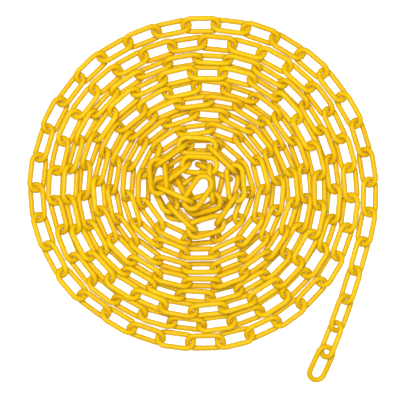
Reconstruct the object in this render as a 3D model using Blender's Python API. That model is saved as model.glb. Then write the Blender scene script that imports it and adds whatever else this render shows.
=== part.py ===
"""A yellow plastic barrier chain, coiled flat on the floor with its free end led out of the coil.

Two links hook into each other at a joint point, and each link runs from one joint point to the
next. The chain starts at its free outer end, leads into the coil, winds inward turn by turn, and
its inner end is laid over the middle. Links lean to either side by turns, as hooked links do.

The links towards the outer free end are separate pieces, each on a hinge, and the last links of
the inner end are separate pieces too. The rest of the coil is made of short runs of links, and
inside a run a small web at each hook holds the links together.
"""

import math

import bmesh
import bpy
import numpy as np
from mathutils import Vector

# The link, in metres: a round wire bent into a long ring with half-round ends.
LINK_LENGTH = 0.0485
LINK_WIDTH = 0.0244
WIRE = 0.0059

# The coil, in metres and turns. The chain lies a little slack, so joints are closer than taut.
JOINT_PITCH = 0.0354
INNER_JOINT_PITCH = 0.0345
OUTER_RADIUS = 0.2013
INNER_RADIUS = 0.0522
OUTER_SPACING = 0.0222
MIDDLE_SPACING = 0.0163
INNER_SPACING = 0.0186
START_ANGLE = math.radians(-18.0)
LOW_LEAN = 41.0
STACK_LIFT = 0.0067
STACK_FROM_TURN = 1.6
STACK_RAMP = 0.12
OUT_OF_ROUND = ((2, 0.0017, 8.0), (3, 0.0013, 188.0), (5, 0.0006, 58.0))

# The led-out end, from the free end: how far apart its joints are, how far each one bends, and
# how its links lean. The last links hang loose in each other.
LEAD_PITCHES = (0.0282, 0.0322, 0.0345, 0.0354, 0.0354)
LEAD_BENDS = (-2.0, -2.0, -2.0, -2.0, -4.0)
LEAD_LEANS = (-18.0, 50.0, -36.0, 50.0, -42.0)
LEAD_LIFT = 0.0012
LEAD_END_DROP = 0.0042

# The inner end: how far each of its joints lies from the middle. It winds in on the surface,
# climbs over the middle, winds out on top of the turns that are already down, and comes back in.
INNER_REACH = (0.049, 0.045, 0.041, 0.037, 0.034, 0.031, 0.026, 0.018, 0.010, 0.016, 0.026)
INNER_REACH += tuple(0.034 + 0.0030 * i for i in range(8)) + (0.046, 0.034, 0.020, 0.010)
INNER_REACH_PLAY = 0.013
INNER_TOP_FROM = 5
INNER_PITCH = 0.0340
INNER_BENDS = (-60, -20, 0, 20, 35, 50, 65, 80)
INNER_TOP_BENDS = (-80, -60, -40, -20, 0, 20, 40, 60, 80)
INNER_SLOPES = (0, -8, 8)
INNER_TOP_SLOPES = (0, -10, 10, 20, -20)
INNER_TWISTS = (-20, -10, 0, 10, 20)
INNER_SEED = 4
INNER_TRIES = 9000

# Free play: a link keeps this gap to every other while it is turned and nudged at random.
CLEAR_GAP = 0.0005
FLOOR_PLAY = 0.0001
LOOSEN_SEED = 7
LOOSEN_ROUNDS = 3
INNER_LEANS = (50.0, 62.0)
OUTER_LEANS = (26.0, 60.0)
NUDGE = (0.0022, 0.0022, 0.0022)

# How the chain is split into pieces: hinged links, short runs, and single links again.
HINGED_OUTER_LINKS = 20
SWING_ROOM_LINKS = 60
SINGLE_INNER_LINKS = 3
RUNS = 36
REST_LINK = HINGED_OUTER_LINKS
REST_LEAN = 45.0

# Mesh detail: a hinged link has the finer wire, a run's links the coarser one.
FINE_SIDES = 8
FINE_END_SEGMENTS = 5
COARSE_SIDES = 4
COARSE_END_SEGMENTS = 3
COARSE_WIRE_RADIUS = 0.0031
COARSE_END_GROWTH = 1.06

HALF_WIDTH = (LINK_WIDTH - WIRE) / 2
HALF_STRAIGHT = LINK_LENGTH / 2 - WIRE / 2 - HALF_WIDTH
TURN = 2 * math.pi
UP = np.array([0.0, 0.0, 1.0])


def blend(low, high, x):
    """A smooth step from low at x = 0 to high at x = 1."""
    x = max(0.0, min(1.0, x))
    return low + (high - low) * x * x * (3 - 2 * x)


# ---- The chain's course ----


def turn_spacing(radius):
    if radius > 0.120:
        return blend(MIDDLE_SPACING, OUTER_SPACING, (radius - 0.150) / 0.030)
    return blend(INNER_SPACING, MIDDLE_SPACING, (radius - 0.060) / 0.030)


def lane_lean(radius):
    """The lean at which a link just fits between the turns on either side of its own."""
    width = turn_spacing(radius) - 2 * CLEAR_GAP
    return math.acos((width - WIRE) / (2 * HALF_WIDTH))


def stack_height(turns):
    """Every second turn of the inner coil rides a little higher than its neighbours."""
    if turns < STACK_FROM_TURN:
        return 0.0
    place = turns % 2.0
    rise = blend(0.0, STACK_LIFT, (place - 0.5) / STACK_RAMP + 0.5)
    fall = blend(0.0, STACK_LIFT, (place - 1.5) / STACK_RAMP + 0.5)
    return rise - fall


def coil_point(angle, radius, turns):
    bulge = sum(size * math.cos(n * (angle - math.radians(at))) for n, size, at in OUT_OF_ROUND)
    reach = radius + bulge * min(1.0, radius / 0.120)
    lean = max(lane_lean(radius), math.radians(LOW_LEAN))
    height = HALF_WIDTH * math.sin(lean) + WIRE / 2 + stack_height(turns)
    return np.array([reach * math.cos(angle), reach * math.sin(angle), height])


def joint_pitch(radius):
    return blend(INNER_JOINT_PITCH, JOINT_PITCH, (radius - 0.100) / 0.050)


def coil_course():
    """The joint points and radii of the wound part, from the outermost turn inward."""
    angle, radius, turns = START_ANGLE, OUTER_RADIUS, 0.0
    points, radii = [coil_point(angle, radius, turns)], [radius]
    while radius > INNER_RADIUS:
        pitch = joint_pitch(radius)
        step = pitch / radius
        for _ in range(5):
            shrink = turn_spacing(radius) * step / TURN
            point = coil_point(angle + step, radius - shrink, turns + step / TURN)
            step *= pitch / np.linalg.norm(point - points[-1])
        radius -= turn_spacing(radius) * step / TURN
        angle += step
        turns += step / TURN
        points.append(coil_point(angle, radius, turns))
        radii.append(radius)
    return points, radii


def lead_out(points):
    """The joint points of the led-out end, from its free end up to the coil."""
    away = points[0] - points[1]
    heading = math.atan2(away[1], away[0])
    place, lead = points[0], []
    for pitch, bend in zip(reversed(LEAD_PITCHES), reversed(LEAD_BENDS)):
        heading += math.radians(bend)
        place = place + pitch * np.array([math.cos(heading), math.sin(heading), 0.0])
        lead.insert(0, place + LEAD_LIFT * UP)
    lead[0] = lead[0] - LEAD_END_DROP * UP
    return lead


# ---- Links as centre lines ----


def link_outline(segments, growth=1.0):
    """The wire's centre line in the link's own plane: along the chain, and across it."""
    outline = []
    for end in (1, -1):
        for i in range(segments + 1):
            angle = math.pi * (i / segments - 0.5)
            reach = HALF_WIDTH * (growth if 0 < i < segments else 1.0)
            outline.append((end * (HALF_STRAIGHT + reach * math.cos(angle)), end * reach * math.sin(angle)))
    return np.array(outline)


OUTLINE = link_outline(8)


def link_axes(start, end, lean):
    """A link's middle, its direction along the chain, and its direction across the wire ring."""
    along = (end - start) / np.linalg.norm(end - start)
    level = np.cross(along, UP)
    level /= np.linalg.norm(level)
    across = math.cos(lean) * level + math.sin(lean) * np.cross(level, along)
    return (start + end) / 2, along, across


def link_line(start, end, lean):
    middle, along, across = link_axes(start, end, lean)
    return middle + OUTLINE[:, :1] * along + OUTLINE[:, 1:] * across


def close_points(line, step=0.0022):
    """Points along a closed line, no further apart than step."""
    ahead = np.roll(line, -1, axis=0)
    counts = np.ceil(np.linalg.norm(ahead - line, axis=1) / step).astype(int)
    parts = [a + (b - a) * (np.arange(n) / n)[:, None] for a, b, n in zip(line, ahead, counts)]
    return np.concatenate(parts)


def wire_gap(line, others):
    """The smallest gap between one link's wire and the wires of several others."""
    points = close_points(line)
    edges = (np.roll(others, -1, axis=1) - others).reshape(-1, 3)
    offset = points[:, None, :] - others.reshape(-1, 3)
    share = np.clip((offset * edges).sum(2) / (edges * edges).sum(1), 0, 1)
    nearest = offset - share[:, :, None] * edges
    return math.sqrt((nearest**2).sum(2).min()) - WIRE


def stands_clear(line, others):
    return line[:, 2].min() > WIRE / 2 - FLOOR_PLAY and wire_gap(line, others) >= CLEAR_GAP


def near_links(lines, line, reach=0.066):
    middles = lines.mean(axis=1)
    return np.linalg.norm(middles - line.mean(axis=0), axis=1) < reach


# ---- Laying the chain ----


class Chain:
    """Joint points, leans and centre lines. Link k runs from joint k to joint k + 1."""

    def __init__(self, joints, leans):
        self.joints = joints
        self.leans = leans
        pairs = zip(joints, joints[1:], leans)
        self.lines = [link_line(start, end, lean) for start, end, lean in pairs]
        self.tries = 0


def regular_chain():
    points, radii = coil_course()
    joints = lead_out(points) + points
    leans = [math.radians(lean) for lean in LEAD_LEANS]
    for k, radius in enumerate(radii[:-1], start=len(leans)):
        side = 1 if k % 2 else -1
        leans.append(side * lane_lean(radius))
    leans[REST_LINK] = math.copysign(math.radians(REST_LEAN), leans[REST_LINK])
    return Chain(joints, leans)


def inner_options(chain, heading, placed, random):
    """Ways to lay the next link of the inner end, the lowest and best placed first."""
    on_top = placed >= INNER_TOP_FROM
    goal = INNER_REACH[placed]
    options = []
    for bend in INNER_TOP_BENDS if on_top else INNER_BENDS:
        for slope in INNER_TOP_SLOPES if on_top else INNER_SLOPES:
            for twist in INNER_TWISTS:
                lean = chain.leans[-1] - math.copysign(math.radians(90 + twist), chain.leans[-1])
                aim, rise = heading + math.radians(bend), math.radians(slope)
                # A flat link's neighbours hook close together, a standing link's far apart.
                length = INNER_PITCH - 0.008 * math.cos(2 * lean)
                level = math.cos(rise)
                way = np.array([math.cos(aim) * level, math.sin(aim) * level, math.sin(rise)])
                joint = chain.joints[-1] + length * way
                miss = abs(math.hypot(joint[0], joint[1]) - goal)
                chance = random.uniform(0, 0.6)
                if miss > INNER_REACH_PLAY:
                    continue
                cost = joint[2] * 80 + miss / 0.010 + abs(math.sin(2 * lean)) + chance
                options.append((cost, aim, lean, joint))
    return sorted(options, key=lambda option: option[0])


def lay_inner_end(chain, heading, placed, random):
    """Lays the rest of the inner end on what is already down, and steps back where it can't."""
    if placed == len(INNER_REACH):
        return True
    lines = np.array(chain.lines)
    laid = 0
    for _, aim, lean, joint in inner_options(chain, heading, placed, random):
        line = link_line(chain.joints[-1], joint, lean)
        chain.tries += 1
        if not stands_clear(line, lines[near_links(lines, line)]):
            continue
        chain.joints.append(joint)
        chain.leans.append(lean)
        chain.lines.append(line)
        if lay_inner_end(chain, aim, placed + 1, random):
            return True
        chain.joints.pop()
        chain.leans.pop()
        chain.lines.pop()
        laid += 1
        if laid > 5 or chain.tries > INNER_TRIES:
            break
    return False


def loosen(chain, count):
    """Leans and nudges the wound links at random, wherever each stays clear of its neighbours."""
    random = np.random.default_rng(LOOSEN_SEED)
    lines = np.array(chain.lines)
    groups = [np.flatnonzero(near_links(lines, line)) for line in lines]
    groups = [group[group != k] for k, group in enumerate(groups)]
    wishes = [wished_lean(joint, lean, random) for joint, lean in zip(chain.joints, chain.leans)]
    first = len(LEAD_LEANS)
    for _ in range(LOOSEN_ROUNDS):
        for k in range(first, count):
            lean_towards(chain, lines, groups, k, wishes[k])
        for k in range(first, count):
            nudge_joint(chain, lines, groups, k, random.uniform(-1, 1, 3) * NUDGE)
    chain.lines = lines


def wished_lean(joint, lean, random):
    """A random lean, flatter towards the outside of the coil."""
    outward = (math.hypot(joint[0], joint[1]) - 0.100) / 0.040
    flattest = blend(INNER_LEANS[0], OUTER_LEANS[0], outward)
    steepest = blend(INNER_LEANS[1], OUTER_LEANS[1], outward)
    return math.copysign(math.radians(random.uniform(flattest, steepest)), lean)


def lean_towards(chain, lines, groups, k, wish):
    """Leans one link as far towards the wish as fits. The hinged links keep room to swing."""
    if k == REST_LINK:
        return
    if k < SWING_ROOM_LINKS:
        wish = math.copysign(max(abs(wish), lane_lean(OUTER_RADIUS)), wish)
    for share in (1.0, 0.8, 0.6, 0.4, 0.2):
        lean = chain.leans[k] + (wish - chain.leans[k]) * share
        line = link_line(chain.joints[k], chain.joints[k + 1], lean)
        if stands_clear(line, lines[groups[k]]):
            chain.leans[k], lines[k] = lean, line
            return


def nudge_joint(chain, lines, groups, k, move):
    if k in (REST_LINK, REST_LINK + 1):
        return
    joints, leans = chain.joints, chain.leans
    for share in (1.0, 0.5):
        joint = joints[k] + share * move
        before = link_line(joints[k - 1], joint, leans[k - 1])
        after = link_line(joint, joints[k + 1], leans[k])
        kept = lines[k - 1].copy(), lines[k].copy()
        lines[k - 1], lines[k] = before, after
        if stands_clear(before, lines[groups[k - 1]]) and stands_clear(after, lines[groups[k]]):
            joints[k] = joint
            return
        lines[k - 1], lines[k] = kept


def laid_chain():
    """The whole chain, resting on z = 0 with the middle of its outline over the origin."""
    chain = regular_chain()
    wound = len(chain.leans)
    way = chain.joints[-1] - chain.joints[-2]
    random = np.random.default_rng(INNER_SEED)
    if not lay_inner_end(chain, math.atan2(way[1], way[0]), 0, random):
        raise RuntimeError("the inner end doesn't fit")
    loosen(chain, wound)
    low, high = chain.lines.min(axis=(0, 1)), chain.lines.max(axis=(0, 1))
    floor = chain.lines[REST_LINK][:, 2].min() - WIRE / 2 * math.cos(math.pi / FINE_SIDES)
    shift = np.array([(low[0] + high[0]) / 2, (low[1] + high[1]) / 2, floor])
    chain.joints = [joint - shift for joint in chain.joints]
    chain.lines = chain.lines - shift
    return chain


# ---- Meshes ----


def wire_ring(mesh, axes, outline, sides, radius):
    """One link's skin. Returns its rings of vertices, one for each point of the outline."""
    middle, along, across = axes
    normal = np.cross(along, across)
    count = len(outline)
    rings = []
    for i, (x, y) in enumerate(outline):
        back = outline[i] - outline[i - 1]
        ahead = outline[(i + 1) % count] - outline[i]
        back, ahead = back / np.linalg.norm(back), ahead / np.linalg.norm(ahead)
        bisector = back + ahead
        miter = 1 / max(0.5, math.sqrt((1 + back @ ahead) / 2))
        out = np.array([bisector[1], -bisector[0]]) / np.linalg.norm(bisector) * miter
        ring = []
        for j in range(sides):
            angle = TURN * (j + 0.5) / sides
            flat = np.array([x, y]) + radius * math.cos(angle) * out
            place = middle + flat[0] * along + flat[1] * across + radius * math.sin(angle) * normal
            ring.append(mesh.verts.new(place))
        rings.append(ring)
    return rings


def skin_faces(mesh, rings, sides, open_segments=()):
    """The quads between neighbouring rings. A segment's inward quad is left out where listed."""
    inward = sides // 2 - 1
    holes = []
    for i in range(len(rings)):
        here, ahead = rings[i], rings[(i + 1) % len(rings)]
        for j in range(sides):
            quad = (here[j], ahead[j], ahead[(j + 1) % sides], here[(j + 1) % sides])
            if i in open_segments and j == inward:
                holes.append(quad)
            else:
                mesh.faces.new(quad)
    return holes


def bridge(mesh, first, second):
    """A web from one four-sided hole to another, joining the corners that lie closest."""
    second = second[::-1]
    shifts = [second[i:] + second[:i] for i in range(4)]

    def spread(corners):
        return sum((a.co - b.co).length for a, b in zip(first, corners))

    second = min(shifts, key=spread)
    for i in range(4):
        j = (i + 1) % 4
        mesh.faces.new((first[j], first[i], second[i], second[j]))


def add_object(name, mesh, material, origin):
    data = bpy.data.meshes.new(name)
    bmesh.ops.translate(mesh, verts=mesh.verts, vec=-Vector(origin))
    bmesh.ops.recalc_face_normals(mesh, faces=mesh.faces)
    mesh.to_mesh(data)
    mesh.free()
    data.materials.append(material)
    data.shade_smooth()
    data.set_sharp_from_angle(angle=math.radians(50))
    part = bpy.data.objects.new(name, data)
    part.location = origin
    bpy.context.scene.collection.objects.link(part)
    return part


def single_link(chain, k, name, material, origin):
    mesh = bmesh.new()
    axes = link_axes(chain.joints[k], chain.joints[k + 1], chain.leans[k])
    radius = WIRE / 2
    rings = wire_ring(mesh, axes, link_outline(FINE_END_SEGMENTS), FINE_SIDES, radius)
    skin_faces(mesh, rings, FINE_SIDES)
    return add_object(name, mesh, material, origin)


def link_run(chain, first, last, name, material):
    """Links first to last in one body, with a web across each hook between them."""
    mesh = bmesh.new()
    outline = link_outline(COARSE_END_SEGMENTS, COARSE_END_GROWTH)
    far_tip = COARSE_END_SEGMENTS // 2
    near_tip = far_tip + COARSE_END_SEGMENTS + 1
    far_hole = None
    for k in range(first, last + 1):
        axes = link_axes(chain.joints[k], chain.joints[k + 1], chain.leans[k])
        rings = wire_ring(mesh, axes, outline, COARSE_SIDES, COARSE_WIRE_RADIUS)
        tips = ([near_tip] if k > first else []) + ([far_tip] if k < last else [])
        holes = dict(zip(sorted(tips), skin_faces(mesh, rings, COARSE_SIDES, tips)))
        if far_hole:
            bridge(mesh, far_hole, holes[near_tip])
        far_hole = holes.get(far_tip)
    return add_object(name, mesh, material, chain.joints[first])


# ---- Materials and the build ----


def plastic(name, colour, roughness):
    material = bpy.data.materials.new(name)
    material.use_nodes = True
    shader = material.node_tree.nodes["Principled BSDF"]
    shader.inputs["Base Color"].default_value = (*colour, 1.0)
    shader.inputs["Roughness"].default_value = roughness
    shader.inputs["Metallic"].default_value = 0.0
    return material


def main():
    for item in list(bpy.data.objects):
        bpy.data.objects.remove(item)
    yellow = plastic("yellow_plastic", (0.95, 0.58, 0.01), 0.38)
    chain = laid_chain()
    count = len(chain.leans)

    single_link(chain, 0, "end_link", yellow, chain.joints[1])
    for k in range(1, HINGED_OUTER_LINKS):
        single_link(chain, k, f"link_{k + 1:03d}", yellow, chain.joints[k + 1])
    single_link(chain, REST_LINK, "rest_link", yellow, chain.joints[REST_LINK])

    start, stop = REST_LINK + 1, count - SINGLE_INNER_LINKS
    for i in range(RUNS):
        first = start + (stop - start) * i // RUNS
        last = start + (stop - start) * (i + 1) // RUNS - 1
        link_run(chain, first, last, f"run_{first + 1:03d}_{last + 1:03d}", yellow)

    for k in range(stop, count - 1):
        single_link(chain, k, f"link_{k + 1:03d}", yellow, chain.joints[k])
    single_link(chain, count - 1, "inner_end_link", yellow, chain.joints[count - 1])


main()
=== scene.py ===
"""The looks of the coiled plastic barrier chain: every link as a smooth moulded ring.

The chain is laid by the same rules as the solid model, so each detailed link lies exactly where
its plain solid does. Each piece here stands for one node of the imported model.
"""

import math

import bmesh
import bpy
import numpy as np
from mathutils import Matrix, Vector


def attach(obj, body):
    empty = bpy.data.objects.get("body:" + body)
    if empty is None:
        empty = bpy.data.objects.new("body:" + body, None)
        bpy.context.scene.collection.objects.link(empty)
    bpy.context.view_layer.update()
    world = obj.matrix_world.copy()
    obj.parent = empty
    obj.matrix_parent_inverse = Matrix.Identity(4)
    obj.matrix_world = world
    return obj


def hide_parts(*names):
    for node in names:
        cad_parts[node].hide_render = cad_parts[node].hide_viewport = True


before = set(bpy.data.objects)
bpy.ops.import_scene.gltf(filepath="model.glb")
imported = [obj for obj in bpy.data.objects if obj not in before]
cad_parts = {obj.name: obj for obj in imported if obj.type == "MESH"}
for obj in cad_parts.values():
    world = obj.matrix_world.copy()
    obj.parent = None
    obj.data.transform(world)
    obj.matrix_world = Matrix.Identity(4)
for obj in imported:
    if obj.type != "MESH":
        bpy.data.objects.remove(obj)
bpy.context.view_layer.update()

# The moulded ring. Its section is round, with a hair-thin ridge where the mould's halves met.
RING_RADIUS = 0.00315
RING_END_SEGMENTS = 12
RING_ROD_SEGMENTS = 3
SECTION_SIDES = 20
SEAM_HEIGHT = 0.00010
SEAM_HALF_ANGLE = math.radians(4.0)
SWELL = 0.00006

# The gate mark, a small flat button: its rings as shares of its radius and heights on the wire.
GATE_RADIUS = 0.0010
GATE_SIDES = 12
GATE_HEIGHT = 0.00022
GATE_PROFILE = ((1.0, -0.00045), (0.92, GATE_HEIGHT * 0.75), (0.7, GATE_HEIGHT))

# The plastic: its shades, and the marks in it by noise scale, detail and roughness of the noise.
YELLOW_DEEP = (0.738, 0.446, 0.0008)
YELLOW_BRIGHT = (0.790, 0.515, 0.0012)
YELLOW_FLOW = (0.700, 0.386, 0.0006)
YELLOW_WORN = (0.950, 0.640, 0.060)
FLOW_NOISE = (160.0, 3.0)
FLOW_SHARE = 0.35
SCUFF_NOISE = (1400.0, 4.0, 0.65)
SCUFF_SHARE = 0.30
SCUFF_ROUGHNESS = 0.5
ROUGHNESS_NOISE = (420.0, 3.0)
ROUGHNESS_RANGE = (0.34, 0.46)
GRAIN_NOISE, GRAIN_STRENGTH, GRAIN_DEPTH = (2600.0, 3.0), 0.12, 0.00006
WAVE_NOISE, WAVE_STRENGTH, WAVE_DEPTH = (240.0,), 0.35, 0.00020
PLASTIC_IOR = 1.50
PLASTIC_SPECULAR = 0.12
SUBSURFACE_SHARE = 0.15
SUBSURFACE_RADIUS = (1.0, 0.45, 0.05)
SUBSURFACE_SCALE = 0.0022
LOOKS_SEED = 11

# The white sheet it lies on.
SHEET_SHADE = (0.900, 0.900, 0.895)
SHEET_WHITE = (0.920, 0.920, 0.920)
SHEET_NOISE = (9.0,)
SHEET_ROUGHNESS = 0.75
SHEET_SPECULAR = 0.1
SHEET_GLOW = 0.60
SHEET_SIZE = 16.0
SHEET_CELLS = 8
SHEET_HEIGHT = -0.00045

# Light and view.
WHITE = (1.0, 1.0, 1.0, 1.0)
OVERHEAD_PLACE, OVERHEAD_SIZE, OVERHEAD_POWER = (-0.12, 0.20, 2.2), 1.0, 55.0
LEFT_PLACE, RIGHT_PLACE = (-1.7, 0.5, 1.1), (1.6, -0.7, 1.1)
SIDE_SIZE, SIDE_POWER = 1.2, 4.0
WORLD_STRENGTH = 0.20
SENSOR_WIDTH = 36.0
CAMERA_HEIGHT = 1.9
VIEW_WIDTH = 0.4725
CAMERA_OVER = (-0.0036, -0.0006)

# The link, in metres: a round wire bent into a long ring with half-round ends.
LINK_LENGTH = 0.0485
LINK_WIDTH = 0.0244
WIRE = 0.0059

# The coil, in metres and turns. The chain lies a little slack, so joints are closer than taut.
JOINT_PITCH = 0.0354
INNER_JOINT_PITCH = 0.0345
OUTER_RADIUS = 0.2013
INNER_RADIUS = 0.0522
OUTER_SPACING = 0.0222
MIDDLE_SPACING = 0.0163
INNER_SPACING = 0.0186
START_ANGLE = math.radians(-18.0)
LOW_LEAN = 41.0
COURSE_FITS = 5
STACK_LIFT = 0.0067
STACK_FROM_TURN = 1.6
STACK_RAMP = 0.12
OUT_OF_ROUND = ((2, 0.0017, 8.0), (3, 0.0013, 188.0), (5, 0.0006, 58.0))
FULL_BULGE_RADIUS = 0.120

# Where the coil's measures change with the distance from its middle: from where, over how far.
# The spacing of the turns has two such ramps, one on each side of SPACING_SPLIT.
MIDDLE_SPACING_RAMP = (0.060, 0.030)
SPACING_SPLIT = 0.120
OUTER_SPACING_RAMP = (0.150, 0.030)
PITCH_RAMP = (0.100, 0.050)
LEAN_RAMP = (0.100, 0.040)

# The led-out end, from the free end: how far apart its joints are, how far each one bends, and
# how its links lean. The last links hang loose in each other.
LEAD_PITCHES = (0.0282, 0.0322, 0.0345, 0.0354, 0.0354)
LEAD_BENDS = (-2.0, -2.0, -2.0, -2.0, -4.0)
LEAD_LEANS = (-18.0, 50.0, -36.0, 50.0, -42.0)
LEAD_LIFT = 0.0012
LEAD_END_DROP = 0.0042

# The inner end: how far each of its joints lies from the middle. It winds in on the surface,
# climbs over the middle, winds out on top of the turns that are already down, and comes back in.
INNER_REACH = (0.049, 0.045, 0.041, 0.037, 0.034, 0.031, 0.026, 0.018, 0.010, 0.016, 0.026)
INNER_REACH += tuple(0.034 + 0.0030 * i for i in range(8)) + (0.046, 0.034, 0.020, 0.010)
INNER_REACH_PLAY = 0.013
INNER_TOP_FROM = 5
INNER_PITCH = 0.0340
INNER_PITCH_PLAY = 0.008
INNER_BENDS = (-60, -20, 0, 20, 35, 50, 65, 80)
INNER_TOP_BENDS = (-80, -60, -40, -20, 0, 20, 40, 60, 80)
INNER_SLOPES = (0, -8, 8)
INNER_TOP_SLOPES = (0, -10, 10, 20, -20)
INNER_TWISTS = (-20, -10, 0, 10, 20)
INNER_SEED = 4
INNER_TRIES = 9000
INNER_RETRIES = 5
QUARTER_TURN = 90

# What a place for a link of the inner end costs: so much per metre of height, one for each
# MISS_FOR_ONE that it misses its reach by, up to one for a slanting lean, and a little chance.
HEIGHT_COST = 80
MISS_FOR_ONE = 0.010
CHANCE_COST = 0.6

# Free play: a link keeps this gap to every other while it is turned and nudged at random.
CLEAR_GAP = 0.0005
GAP_STEP = 0.0022
NEAR_REACH = 0.066
FLOOR_PLAY = 0.0001
LOOSEN_SEED = 7
LOOSEN_ROUNDS = 3
INNER_LEANS = (50.0, 62.0)
OUTER_LEANS = (26.0, 60.0)
LEAN_SHARES = (1.0, 0.8, 0.6, 0.4, 0.2)
NUDGE = (0.0022, 0.0022, 0.0022)
NUDGE_SHARES = (1.0, 0.5)

# How the chain is split into pieces: hinged links, short runs, and single links again.
HINGED_OUTER_LINKS = 20
SWING_ROOM_LINKS = 60
SINGLE_INNER_LINKS = 3
RUNS = 36
REST_LINK = HINGED_OUTER_LINKS
REST_LEAN = 45.0
CAD_WIRE_SIDES = 8
LINE_SEGMENTS = 8

HALF_WIDTH = (LINK_WIDTH - WIRE) / 2
HALF_STRAIGHT = LINK_LENGTH / 2 - WIRE / 2 - HALF_WIDTH
TURN = 2 * math.pi
UP = np.array([0.0, 0.0, 1.0])


def blend(low, high, x):
    """A smooth step from low at x = 0 to high at x = 1."""
    x = max(0.0, min(1.0, x))
    return low + (high - low) * x * x * (3 - 2 * x)


# ---- The chain's course ----


def ramp(low, high, radius, over):
    """A smooth step from low to high as the radius grows over the stretch (start, length)."""
    start, length = over
    return blend(low, high, (radius - start) / length)


def turn_spacing(radius):
    """How far apart neighbouring turns are."""
    if radius > SPACING_SPLIT:
        return ramp(MIDDLE_SPACING, OUTER_SPACING, radius, OUTER_SPACING_RAMP)
    return ramp(INNER_SPACING, MIDDLE_SPACING, radius, MIDDLE_SPACING_RAMP)


def lane_lean(radius):
    """The lean at which a link just fits between the turns on either side of its own."""
    width = turn_spacing(radius) - 2 * CLEAR_GAP
    return math.acos((width - WIRE) / (2 * HALF_WIDTH))


def stack_height(turns):
    """Every second turn of the inner coil rides a little higher than its neighbours."""
    if turns < STACK_FROM_TURN:
        return 0.0
    place = turns % 2.0  # Rises at the half turn and falls at one and a half.
    rise = blend(0.0, STACK_LIFT, (place - 0.5) / STACK_RAMP + 0.5)
    fall = blend(0.0, STACK_LIFT, (place - 1.5) / STACK_RAMP + 0.5)
    return rise - fall


def coil_point(angle, radius, turns):
    """A joint's place on the coil, which is a little out of round."""
    bulge = sum(size * math.cos(n * (angle - math.radians(at))) for n, size, at in OUT_OF_ROUND)
    reach = radius + bulge * min(1.0, radius / FULL_BULGE_RADIUS)
    lean = max(lane_lean(radius), math.radians(LOW_LEAN))
    height = HALF_WIDTH * math.sin(lean) + WIRE / 2 + stack_height(turns)
    return np.array([reach * math.cos(angle), reach * math.sin(angle), height])


def joint_pitch(radius):
    """How far apart neighbouring joints are: closer where the chain bends more."""
    return ramp(INNER_JOINT_PITCH, JOINT_PITCH, radius, PITCH_RAMP)


def coil_course():
    """The joint points and radii of the wound part, from the outermost turn inward."""
    angle, radius, turns = START_ANGLE, OUTER_RADIUS, 0.0
    points, radii = [coil_point(angle, radius, turns)], [radius]
    while radius > INNER_RADIUS:
        pitch = joint_pitch(radius)
        step = pitch / radius
        for _ in range(COURSE_FITS):
            shrink = turn_spacing(radius) * step / TURN
            point = coil_point(angle + step, radius - shrink, turns + step / TURN)
            step *= pitch / np.linalg.norm(point - points[-1])
        radius -= turn_spacing(radius) * step / TURN
        angle += step
        turns += step / TURN
        points.append(coil_point(angle, radius, turns))
        radii.append(radius)
    return points, radii


def lead_out(points):
    """The joint points of the led-out end, from its free end up to the coil."""
    away = points[0] - points[1]
    heading = math.atan2(away[1], away[0])
    place, lead = points[0], []
    for pitch, bend in zip(reversed(LEAD_PITCHES), reversed(LEAD_BENDS)):
        heading += math.radians(bend)
        place = place + pitch * np.array([math.cos(heading), math.sin(heading), 0.0])
        lead.insert(0, place + LEAD_LIFT * UP)
    lead[0] = lead[0] - LEAD_END_DROP * UP
    return lead


# ---- Links as centre lines ----


def link_outline(segments):
    """The wire's centre line in the link's own plane: along the chain, and across it."""
    outline = []
    for end in (1, -1):
        for i in range(segments + 1):
            angle = math.pi * (i / segments - 0.5)
            x = end * (HALF_STRAIGHT + HALF_WIDTH * math.cos(angle))
            outline.append((x, end * HALF_WIDTH * math.sin(angle)))
    return np.array(outline)


OUTLINE = link_outline(LINE_SEGMENTS)


def link_axes(start, end, lean):
    """A link's middle, its direction along the chain, and its direction across the wire ring."""
    along = (end - start) / np.linalg.norm(end - start)
    level = np.cross(along, UP)
    level /= np.linalg.norm(level)
    across = math.cos(lean) * level + math.sin(lean) * np.cross(level, along)
    return (start + end) / 2, along, across


def link_line(start, end, lean):
    """The wire's centre line of a link that runs from one joint to the next."""
    middle, along, across = link_axes(start, end, lean)
    return middle + OUTLINE[:, :1] * along + OUTLINE[:, 1:] * across


def close_points(line):
    """Points along a closed line, no further apart than GAP_STEP."""
    ahead = np.roll(line, -1, axis=0)
    counts = np.ceil(np.linalg.norm(ahead - line, axis=1) / GAP_STEP).astype(int)
    parts = [a + (b - a) * (np.arange(n) / n)[:, None] for a, b, n in zip(line, ahead, counts)]
    return np.concatenate(parts)


def wire_gap(line, others):
    """The smallest gap between one link's wire and the wires of several others."""
    points = close_points(line)
    edges = (np.roll(others, -1, axis=1) - others).reshape(-1, 3)
    offset = points[:, None, :] - others.reshape(-1, 3)
    share = np.clip((offset * edges).sum(2) / (edges * edges).sum(1), 0, 1)
    nearest = offset - share[:, :, None] * edges
    return math.sqrt((nearest**2).sum(2).min()) - WIRE


def stands_clear(line, others):
    """Whether a link is above the floor and keeps its gap to the others."""
    return line[:, 2].min() > WIRE / 2 - FLOOR_PLAY and wire_gap(line, others) >= CLEAR_GAP


def near_links(lines, line):
    """Which links are near enough to touch this one."""
    middles = lines.mean(axis=1)
    return np.linalg.norm(middles - line.mean(axis=0), axis=1) < NEAR_REACH


# ---- Laying the chain ----


class Chain:
    """Joint points, leans and centre lines. Link k runs from joint k to joint k + 1."""

    def __init__(self, joints, leans):
        self.joints = joints
        self.leans = leans
        pairs = zip(joints, joints[1:], leans)
        self.lines = [link_line(start, end, lean) for start, end, lean in pairs]
        self.tries = 0


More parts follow.
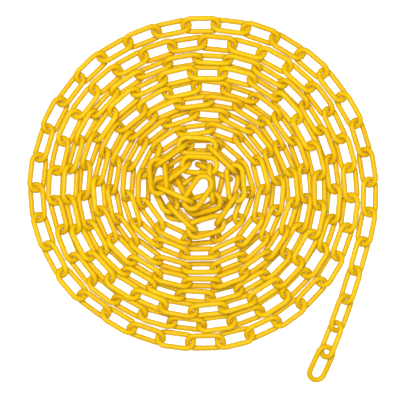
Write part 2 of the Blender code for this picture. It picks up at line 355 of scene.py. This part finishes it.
def regular_chain():
    """The led-out end and the wound part, each link leaning as far as its lane needs."""
    points, radii = coil_course()
    joints = lead_out(points) + points
    leans = [math.radians(lean) for lean in LEAD_LEANS]
    for k, radius in enumerate(radii[:-1], start=len(leans)):
        side = 1 if k % 2 else -1
        leans.append(side * lane_lean(radius))
    leans[REST_LINK] = math.copysign(math.radians(REST_LEAN), leans[REST_LINK])
    return Chain(joints, leans)


def inner_options(chain, heading, placed, random):
    """Ways to lay the next link of the inner end, the lowest and best placed first."""
    on_top = placed >= INNER_TOP_FROM
    goal = INNER_REACH[placed]
    options = []
    for bend in INNER_TOP_BENDS if on_top else INNER_BENDS:
        for slope in INNER_TOP_SLOPES if on_top else INNER_SLOPES:
            for twist in INNER_TWISTS:
                turn = math.copysign(math.radians(QUARTER_TURN + twist), chain.leans[-1])
                lean = chain.leans[-1] - turn
                aim, rise = heading + math.radians(bend), math.radians(slope)
                # A flat link's neighbours hook close together, a standing link's far apart.
                length = INNER_PITCH - INNER_PITCH_PLAY * math.cos(2 * lean)
                level = math.cos(rise)
                way = np.array([math.cos(aim) * level, math.sin(aim) * level, math.sin(rise)])
                joint = chain.joints[-1] + length * way
                miss = abs(math.hypot(joint[0], joint[1]) - goal)
                chance = random.uniform(0, CHANCE_COST)
                if miss > INNER_REACH_PLAY:
                    continue
                place_cost = joint[2] * HEIGHT_COST + miss / MISS_FOR_ONE
                cost = place_cost + abs(math.sin(2 * lean)) + chance
                options.append((cost, aim, lean, joint))
    return sorted(options, key=lambda option: option[0])


def lay_inner_end(chain, heading, placed, random):
    """Lays the rest of the inner end on what is already down, and steps back where it can't."""
    if placed == len(INNER_REACH):
        return True
    lines = np.array(chain.lines)
    laid = 0
    for _, aim, lean, joint in inner_options(chain, heading, placed, random):
        line = link_line(chain.joints[-1], joint, lean)
        chain.tries += 1
        if not stands_clear(line, lines[near_links(lines, line)]):
            continue
        chain.joints.append(joint)
        chain.leans.append(lean)
        chain.lines.append(line)
        if lay_inner_end(chain, aim, placed + 1, random):
            return True
        chain.joints.pop()
        chain.leans.pop()
        chain.lines.pop()
        laid += 1
        if laid > INNER_RETRIES or chain.tries > INNER_TRIES:
            break
    return False


def loosen(chain, count):
    """Leans and nudges the wound links at random, wherever each stays clear of its neighbours."""
    random = np.random.default_rng(LOOSEN_SEED)
    lines = np.array(chain.lines)
    groups = [np.flatnonzero(near_links(lines, line)) for line in lines]
    groups = [group[group != k] for k, group in enumerate(groups)]
    wishes = [wished_lean(joint, lean, random) for joint, lean in zip(chain.joints, chain.leans)]
    first = len(LEAD_LEANS)
    for _ in range(LOOSEN_ROUNDS):
        for k in range(first, count):
            lean_towards(chain, lines, groups, k, wishes[k])
        for k in range(first, count):
            nudge_joint(chain, lines, groups, k, random.uniform(-1, 1, 3) * NUDGE)
    chain.lines = lines


def wished_lean(joint, lean, random):
    """A random lean, flatter towards the outside of the coil."""
    radius = math.hypot(joint[0], joint[1])
    flattest = ramp(INNER_LEANS[0], OUTER_LEANS[0], radius, LEAN_RAMP)
    steepest = ramp(INNER_LEANS[1], OUTER_LEANS[1], radius, LEAN_RAMP)
    return math.copysign(math.radians(random.uniform(flattest, steepest)), lean)


def lean_towards(chain, lines, groups, k, wish):
    """Leans one link as far towards the wish as fits. The hinged links keep room to swing."""
    if k == REST_LINK:
        return
    if k < SWING_ROOM_LINKS:
        wish = math.copysign(max(abs(wish), lane_lean(OUTER_RADIUS)), wish)
    for share in LEAN_SHARES:
        lean = chain.leans[k] + (wish - chain.leans[k]) * share
        line = link_line(chain.joints[k], chain.joints[k + 1], lean)
        if stands_clear(line, lines[groups[k]]):
            chain.leans[k], lines[k] = lean, line
            return


def nudge_joint(chain, lines, groups, k, move):
    """Moves one joint by the whole or half of a move, if both its links stay clear."""
    if k in (REST_LINK, REST_LINK + 1):
        return
    joints, leans = chain.joints, chain.leans
    for share in NUDGE_SHARES:
        joint = joints[k] + share * move
        before = link_line(joints[k - 1], joint, leans[k - 1])
        after = link_line(joint, joints[k + 1], leans[k])
        kept = lines[k - 1].copy(), lines[k].copy()
        lines[k - 1], lines[k] = before, after
        if stands_clear(before, lines[groups[k - 1]]) and stands_clear(after, lines[groups[k]]):
            joints[k] = joint
            return
        lines[k - 1], lines[k] = kept


def laid_chain():
    """The whole chain, resting on z = 0 with the middle of its outline over the origin."""
    chain = regular_chain()
    wound = len(chain.leans)
    way = chain.joints[-1] - chain.joints[-2]
    random = np.random.default_rng(INNER_SEED)
    if not lay_inner_end(chain, math.atan2(way[1], way[0]), 0, random):
        raise RuntimeError("the inner end doesn't fit")
    loosen(chain, wound)
    low, high = chain.lines.min(axis=(0, 1)), chain.lines.max(axis=(0, 1))
    floor = chain.lines[REST_LINK][:, 2].min() - WIRE / 2 * math.cos(math.pi / CAD_WIRE_SIDES)
    shift = np.array([(low[0] + high[0]) / 2, (low[1] + high[1]) / 2, floor])
    chain.joints = [joint - shift for joint in chain.joints]
    chain.lines = chain.lines - shift
    return chain


# ---- The moulded rings ----


def ring_outline():
    """The ring's centre line, its outward direction in the ring's plane, and how near an end is."""
    points = []
    for end in (1, -1):
        for i in range(RING_END_SEGMENTS + 1):
            angle = math.pi * (i / RING_END_SEGMENTS - 0.5)
            out = (end * math.cos(angle), end * math.sin(angle))
            spot = (end * HALF_STRAIGHT + HALF_WIDTH * out[0], HALF_WIDTH * out[1])
            points.append((spot, out, math.cos(angle)))
        for i in range(1, RING_ROD_SEGMENTS):
            x = end * HALF_STRAIGHT * (1 - 2 * i / RING_ROD_SEGMENTS)
            points.append(((x, end * HALF_WIDTH), (0.0, end), 0.0))
    return points


def section():
    """Angle and radius of each point round the wire, with the seam ridge inside and outside."""
    points = [(TURN * (i + 0.5) / SECTION_SIDES, RING_RADIUS) for i in range(SECTION_SIDES)]
    for middle in (0.0, math.pi):
        points.append((middle - SEAM_HALF_ANGLE, RING_RADIUS))
        points.append((middle, RING_RADIUS + SEAM_HEIGHT))
        points.append((middle + SEAM_HALF_ANGLE, RING_RADIUS))
    return sorted(points, key=lambda point: point[0] % TURN)


RING = ring_outline()
SECTION = section()


class Piece:
    """The detailed links of one node. Their points carry each link's tint and where links rub."""

    def __init__(self):
        self.mesh = bmesh.new()
        self.tint_layer = self.mesh.verts.layers.float.new("tint")
        self.rub_layer = self.mesh.verts.layers.float.new("rub")

    def vert(self, place, tint, rub=0.0):
        """A new point with its link's tint and its share of rub marks."""
        vert = self.mesh.verts.new(place)
        vert[self.tint_layer] = tint
        vert[self.rub_layer] = rub
        return vert

    def skin(self, ring, ahead):
        """Faces between two rings of as many points."""
        for j in range(len(ring)):
            k = (j + 1) % len(ring)
            self.mesh.faces.new((ring[j], ahead[j], ahead[k], ring[k]))

    def add_ring(self, axes, tint, random):
        """One moulded link, its wire a little thicker here and thinner there."""
        middle, along, across = axes
        normal = np.cross(along, across)
        swell = random.uniform(-SWELL, SWELL, 2)
        phase = random.uniform(0, TURN, 2)
        rings = []
        for i, ((x, y), out, end) in enumerate(RING):
            place = TURN * i / len(RING)
            thick = swell[0] * math.cos(place + phase[0])
            thick += swell[1] * math.cos(2 * place + phase[1])
            outward = out[0] * along + out[1] * across
            spot = middle + x * along + y * across
            ring = []
            for angle, radius in SECTION:
                way = math.cos(angle) * outward + math.sin(angle) * normal
                rub = end * max(0.0, -math.cos(angle)) ** 2
                ring.append(self.vert(spot + (radius + thick) * way, tint, rub))
            rings.append(ring)
        for ring, ahead in zip(rings, rings[1:] + rings[:1]):
            self.skin(ring, ahead)

    def add_gate(self, axes, tint, side):
        """The button that the moulding gate leaves in the middle of one rod."""
        middle, along, across = axes
        normal = np.cross(along, across) * side
        base = middle + HALF_WIDTH * across
        rings = []
        for reach, lift in GATE_PROFILE:
            ring = []
            for i in range(GATE_SIDES):
                angle = TURN * i / GATE_SIDES
                flat = GATE_RADIUS * reach * (math.cos(angle) * along + math.sin(angle) * across)
                ring.append(self.vert(base + flat + (RING_RADIUS + lift) * normal, tint))
            rings.append(ring)
        for ring, ahead in zip(rings, rings[1:]):
            self.skin(ring, ahead)
        self.mesh.faces.new(rings[-1])
        self.mesh.faces.new(rings[0][::-1])

    def finish(self, node, body, material):
        """Makes the mesh an object that rides its body in place of the plain node."""
        bmesh.ops.recalc_face_normals(self.mesh, faces=self.mesh.faces)
        data = bpy.data.meshes.new(node + "_moulded")
        self.mesh.to_mesh(data)
        self.mesh.free()
        data.materials.append(material)
        data.shade_smooth()
        piece = bpy.data.objects.new(node + "_moulded", data)
        bpy.context.scene.collection.objects.link(piece)
        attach(piece, body)
        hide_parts(node)


def add_piece(chain, first, last, node, body, material, random):
    """The detailed links first to last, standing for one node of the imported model."""
    piece = Piece()
    for k in range(first, last + 1):
        axes = link_axes(chain.joints[k], chain.joints[k + 1], chain.leans[k])
        tint = random.uniform(0, 1)
        piece.add_ring(axes, tint, random)
        piece.add_gate(axes, tint, 1 if k % 2 else -1)
    piece.finish(node, body, material)


# ---- Materials ----


class Nodes:
    """A short way to write a material's nodes."""

    def __init__(self, name):
        self.material = bpy.data.materials.new(name)
        self.material.use_nodes = True
        self.tree = self.material.node_tree
        self.shader = self.tree.nodes["Principled BSDF"]
        self.coordinates = self.add("ShaderNodeTexCoord")

    def add(self, kind, **values):
        """A new node, with values for its sockets or its properties, by name."""
        node = self.tree.nodes.new(kind)
        for name, value in values.items():
            if name in node.inputs:
                node.inputs[name].default_value = value
            else:
                setattr(node, name, value)
        return node

    def link(self, source, target):
        self.tree.links.new(source, target)

    def noise(self, scale, detail=2.0, roughness=0.5):
        noise = self.add("ShaderNodeTexNoise", Scale=scale, Detail=detail, Roughness=roughness)
        self.link(self.coordinates.outputs["Object"], noise.inputs["Vector"])
        return noise.outputs["Fac"]

    def attribute(self, name):
        return self.add("ShaderNodeAttribute", attribute_name=name).outputs["Fac"]

    def ramp(self, source, low, high, to_low, to_high):
        scale = self.add("ShaderNodeMapRange")
        ends = {"From Min": low, "From Max": high, "To Min": to_low, "To Max": to_high}
        for name, value in ends.items():
            scale.inputs[name].default_value = value
        self.link(source, scale.inputs["Value"])
        return scale.outputs["Result"]

    def mix(self, share, first, second):
        """A mix of two colours, each a constant or a socket."""
        mix = self.add("ShaderNodeMix", data_type="RGBA")
        self.link(share, mix.inputs["Factor"])
        for value, socket in ((first, mix.inputs[6]), (second, mix.inputs[7])):
            if isinstance(value, tuple):
                socket.default_value = (*value, 1.0)
            else:
                self.link(value, socket)
        return mix.outputs[2]

    def math(self, operation, first, second):
        """A sum or product of two values, each a constant or a socket."""
        node = self.add("ShaderNodeMath", operation=operation)
        for value, socket in zip((first, second), node.inputs):
            if isinstance(value, (int, float)):
                socket.default_value = value
            else:
                self.link(value, socket)
        return node.outputs[0]

    def bump(self, height, strength, distance, below=None):
        bump = self.add("ShaderNodeBump", Strength=strength, Distance=distance)
        self.link(height, bump.inputs["Height"])
        if below:
            self.link(below, bump.inputs["Normal"])
        return bump.outputs["Normal"]


def yellow_plastic():
    """Coloured-through polyethylene: satin, a little translucent, with faint flow and rub marks."""
    nodes = Nodes("yellow_moulded_plastic")
    shader = nodes.shader.inputs

    base = nodes.mix(nodes.attribute("tint"), YELLOW_DEEP, YELLOW_BRIGHT)
    flow = nodes.ramp(nodes.noise(*FLOW_NOISE), 0.35, 0.70, 0.0, FLOW_SHARE)
    colour = nodes.mix(flow, base, YELLOW_FLOW)
    scuffs = nodes.ramp(nodes.noise(*SCUFF_NOISE), 0.48, 0.66, 0.0, 1.0)
    rubbed = nodes.math("MULTIPLY", nodes.attribute("rub"), SCUFF_SHARE)
    worn = nodes.math("MULTIPLY", scuffs, rubbed)
    nodes.link(nodes.mix(worn, colour, YELLOW_WORN), shader["Base Color"])

    rough = nodes.ramp(nodes.noise(*ROUGHNESS_NOISE), 0.30, 0.70, *ROUGHNESS_RANGE)
    dulled = nodes.math("MULTIPLY", worn, SCUFF_ROUGHNESS)
    nodes.link(nodes.math("ADD", rough, dulled), shader["Roughness"])

    grain = nodes.bump(nodes.noise(*GRAIN_NOISE), GRAIN_STRENGTH, GRAIN_DEPTH)
    waves = nodes.bump(nodes.noise(*WAVE_NOISE), WAVE_STRENGTH, WAVE_DEPTH, grain)
    nodes.link(waves, shader["Normal"])

    shader["IOR"].default_value = PLASTIC_IOR
    shader["Specular IOR Level"].default_value = PLASTIC_SPECULAR
    shader["Subsurface Weight"].default_value = SUBSURFACE_SHARE
    shader["Subsurface Radius"].default_value = SUBSURFACE_RADIUS
    shader["Subsurface Scale"].default_value = SUBSURFACE_SCALE
    return nodes.material


def white_sheet():
    """A matt white sheet that glows a little, as brightly lit paper does in a photograph."""
    nodes = Nodes("white_sheet")
    shader = nodes.shader.inputs
    shade = nodes.ramp(nodes.noise(*SHEET_NOISE), 0.3, 0.7, 0.0, 1.0)
    nodes.link(nodes.mix(shade, SHEET_SHADE, SHEET_WHITE), shader["Base Color"])
    shader["Roughness"].default_value = SHEET_ROUGHNESS
    shader["Specular IOR Level"].default_value = SHEET_SPECULAR
    shader["Emission Color"].default_value = WHITE
    shader["Emission Strength"].default_value = SHEET_GLOW
    return nodes.material


# ---- Stage, light and camera ----


def add_floor():
    """The sheet. It doesn't light the chain from below."""
    mesh = bmesh.new()
    cells = SHEET_CELLS
    bmesh.ops.create_grid(mesh, x_segments=cells, y_segments=cells, size=SHEET_SIZE / 2)
    data = bpy.data.meshes.new("floor")
    mesh.to_mesh(data)
    mesh.free()
    data.materials.append(white_sheet())
    floor = bpy.data.objects.new("floor", data)
    floor.location = (0.0, 0.0, SHEET_HEIGHT)
    floor.visible_diffuse = False
    bpy.context.scene.collection.objects.link(floor)


def add_light(name, place, size, power):
    """A round softbox that faces the middle of the coil."""
    data = bpy.data.lights.new(name, "AREA")
    data.shape = "DISK"
    data.size = size
    data.energy = power
    light = bpy.data.objects.new(name, data)
    light.location = place
    light.rotation_euler = (-Vector(place)).to_track_quat("-Z", "Y").to_euler()
    bpy.context.scene.collection.objects.link(light)


def add_lights():
    add_light("overhead_softbox", OVERHEAD_PLACE, OVERHEAD_SIZE, OVERHEAD_POWER)
    add_light("left_softbox", LEFT_PLACE, SIDE_SIZE, SIDE_POWER)
    add_light("right_softbox", RIGHT_PLACE, SIDE_SIZE, SIDE_POWER)
    world = bpy.data.worlds.new("studio")
    world.use_nodes = True
    background = world.node_tree.nodes["Background"].inputs
    background["Color"].default_value = WHITE
    background["Strength"].default_value = WORLD_STRENGTH
    bpy.context.scene.world = world
    bpy.context.scene.view_settings.view_transform = "Standard"


def add_camera():
    """Straight above the coil."""
    data = bpy.data.cameras.new("camera")
    data.sensor_width = SENSOR_WIDTH
    data.lens = data.sensor_width * CAMERA_HEIGHT / VIEW_WIDTH
    camera = bpy.data.objects.new("camera", data)
    camera.location = (*CAMERA_OVER, CAMERA_HEIGHT)
    bpy.context.scene.collection.objects.link(camera)
    bpy.context.scene.camera = camera


# ---- The whole scene ----


def add_chain():
    """Every link as a moulded ring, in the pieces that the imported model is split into."""
    chain = laid_chain()
    count = len(chain.leans)
    random = np.random.default_rng(LOOKS_SEED)
    material = yellow_plastic()

    add_piece(chain, 0, 0, "end_link", "end_link", material, random)
    for k in range(1, HINGED_OUTER_LINKS):
        name = f"link_{k + 1:03d}"
        add_piece(chain, k, k, name, name, material, random)
    add_piece(chain, REST_LINK, REST_LINK, "rest_link", "coil", material, random)

    start, stop = REST_LINK + 1, count - SINGLE_INNER_LINKS
    for i in range(RUNS):
        first = start + (stop - start) * i // RUNS
        last = start + (stop - start) * (i + 1) // RUNS - 1
        name = f"run_{first + 1:03d}_{last + 1:03d}"
        add_piece(chain, first, last, name, "coil", material, random)

    for k in range(stop, count - 1):
        add_piece(chain, k, k, f"link_{k + 1:03d}", "coil", material, random)
    add_piece(chain, count - 1, count - 1, "inner_end_link", "coil", material, random)


def main():
    add_chain()
    add_floor()
    add_lights()
    add_camera()


main()
